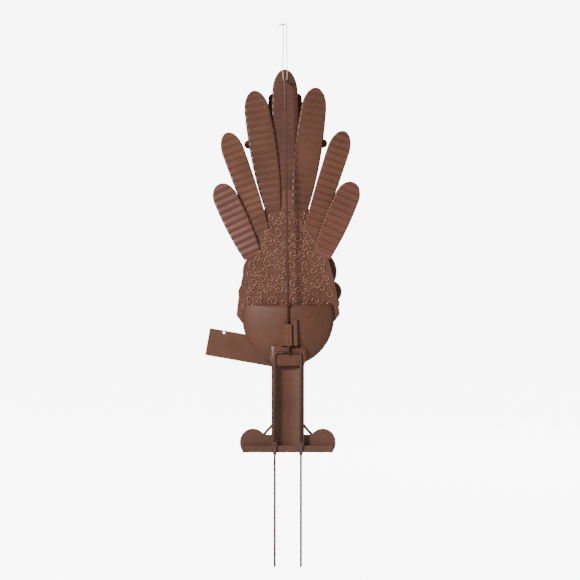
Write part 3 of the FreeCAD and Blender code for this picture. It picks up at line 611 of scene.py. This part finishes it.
seam_mesh = bpy.data.meshes.new("socket_seams")
seams.to_mesh(seam_mesh)
seams.free()
seam_mesh.transform(BIRD)
seam_mesh.shade_smooth()
# The beads get a lighter brown than the socket: a painted highlight along its folds.
seam_mesh.materials.append(enamel("seam_painted_highlight", (0.125, 0.052, 0.031), gloss=0.16))
socket_seams = bpy.data.objects.new("socket_seams", seam_mesh)
bpy.context.scene.collection.objects.link(socket_seams)
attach(socket_seams, "bird")

# ---- Leg, feet and frame ------------------------------------------------------------------------------------
# The leg is a rolled trough with a flat top tab. A sheet with two toe lobes and an angle bar make the feet, and
# one bent wire, brazed behind the leg, carries the stakes on two hollow rivets.
leg_paint = enamel("leg_enamel", (0.078, 0.027, 0.014), gloss=0.28)
smoothed("leg_channel", "rolled_leg", leg_paint, "stand")
foot_paint = enamel("foot_enamel", (0.080, 0.031, 0.019), gloss=0.32, front=(0.42, 0.19, 0.03))
for node in ("foot_plate", "left_brace", "right_brace"):
    repaint(node, foot_paint)
repaint("base_bar", enamel("bar_enamel", (0.071, 0.029, 0.019), gloss=0.28))
smoothed("support_frame", "bent_frame", enamel("frame_enamel", (0.060, 0.025, 0.016), gloss=0.34), "stand",
         50)
rivet_paint = enamel("rivet_enamel", (0.074, 0.036, 0.025), gloss=0.2)
RIVET_X, RIVET_Z = 0.024, 0.0148
BORE_EDGE = 0.0019
# The faces inside each rivet's bore get a near-black enamel: painted shade in the hollow.
bore_painted_shade = enamel("bore_painted_shade", (0.012, 0.008, 0.006), gloss=0.6)
for word, side in (("left", -1), ("right", 1)):
    hollow = smoothed(f"{word}_rivet", f"{word}_hollow_rivet", rivet_paint, "stand", 50)
    hollow.data.materials.append(bore_painted_shade)
    for face in hollow.data.polygons:
        if math.hypot(face.center.x - side * RIVET_X, face.center.z - RIVET_Z) < BORE_EDGE:
            face.material_index = 1

# ---- Ground stakes ------------------------------------------------------------------------------------------
# Two straight wires with flattened upper ends hang on the rivets and fold up for packing. Their enamel is thinner
# and greyer than the rest.
stake_paint = enamel("stake_enamel", (0.058, 0.032, 0.023), gloss=0.40)
for word in ("left", "right"):
    smoothed(f"{word}_stake", f"{word}_ground_wire", stake_paint, f"{word}_stake", 50)

# ---- Sign ---------------------------------------------------------------------------------------------------
# A plain sheet sign hangs off its level from one hook, by a thin bright wire with a curl on each side.
repaint("sign_plate", enamel("sign_enamel", (0.090, 0.034, 0.018), gloss=0.30, front=(0.46, 0.33, 0.16)))
bright, tree, shader = principled("bright_wire", 0.28, 1.0)
shader.inputs["Base Color"].default_value = (0.62, 0.62, 0.62, 1)
drawn = tree.nodes.new("ShaderNodeTexNoise")
drawn.inputs["Scale"].default_value = 500.0
place_node = tree.nodes.new("ShaderNodeTexCoord")
dulling = tree.nodes.new("ShaderNodeMapRange")
dulling.inputs["To Min"].default_value = 0.2
dulling.inputs["To Max"].default_value = 0.45
tree.links.new(place_node.outputs["Object"], drawn.inputs["Vector"])
tree.links.new(drawn.outputs["Fac"], dulling.inputs["Value"])
tree.links.new(dulling.outputs["Result"], shader.inputs["Roughness"])
smoothed("sign_wire", "curled_wire", bright, "sign", 60)
smoothed("sign_hook", "turned_hook", bright, "bird", 60)

# ---- Breast, wings, head and hat -----------------------------------------------------------------------------
# The front is pressed and cut sheet in plain autumn colours: an egg-shaped breast, two scalloped wings, a round
# head with button eyes, beak and wattle, and a tall hat with band and buckle. Their rear faces stay brown.
BROWN = (0.110, 0.044, 0.026)
# A darker brown for the rear faces of the wings, brim and crown: painted shade, where they lie in shade behind the
# tail and panel.
PAINTED_SHADE_BROWN = (0.070, 0.028, 0.020)
EYE_WHITE = (0.62, 0.58, 0.48)
PUPIL_BLACK = (0.02, 0.018, 0.016)
HAT_BLACK = (0.035, 0.03, 0.028)
WING_FRONT = (0.16, 0.055, 0.022)
breast_paint = enamel("breast_enamel", (0.093, 0.036, 0.022), front=(0.23, 0.095, 0.035))
smoothed("breast_shell", "pressed_breast", breast_paint, "bird", 40)
smoothed("head_shell", "pressed_head", breast_paint, "bird", 40)
FLAT_COATS = {
    "left_wing": ("left_wing_enamel", PAINTED_SHADE_BROWN, WING_FRONT),
    "right_wing": ("right_wing_enamel", PAINTED_SHADE_BROWN, WING_FRONT),
    "neck_plate": ("neck_enamel", BROWN, (0.20, 0.085, 0.03)),
    "hat_brim": ("brim_enamel", PAINTED_SHADE_BROWN, HAT_BLACK),
    "hat_band": ("band_enamel", BROWN, (0.50, 0.27, 0.05)),
    "hat_buckle": ("buckle_enamel", BROWN, (0.62, 0.42, 0.10)),
    "wattle": ("wattle_enamel", BROWN, (0.36, 0.03, 0.02)),
    "left_eye": ("left_eye_enamel", EYE_WHITE, None),
    "right_eye": ("right_eye_enamel", EYE_WHITE, None),
    "left_pupil": ("left_pupil_enamel", PUPIL_BLACK, None),
    "right_pupil": ("right_pupil_enamel", PUPIL_BLACK, None),
}
for node, (name, back, front) in FLAT_COATS.items():
    repaint(node, enamel(name, back, front=front))
smoothed("hat_crown", "pressed_crown", enamel("crown_enamel", PAINTED_SHADE_BROWN, front=HAT_BLACK), "bird",
         40)
smoothed("beak", "folded_beak", enamel("beak_enamel", (0.60, 0.30, 0.04)), "bird", 40)
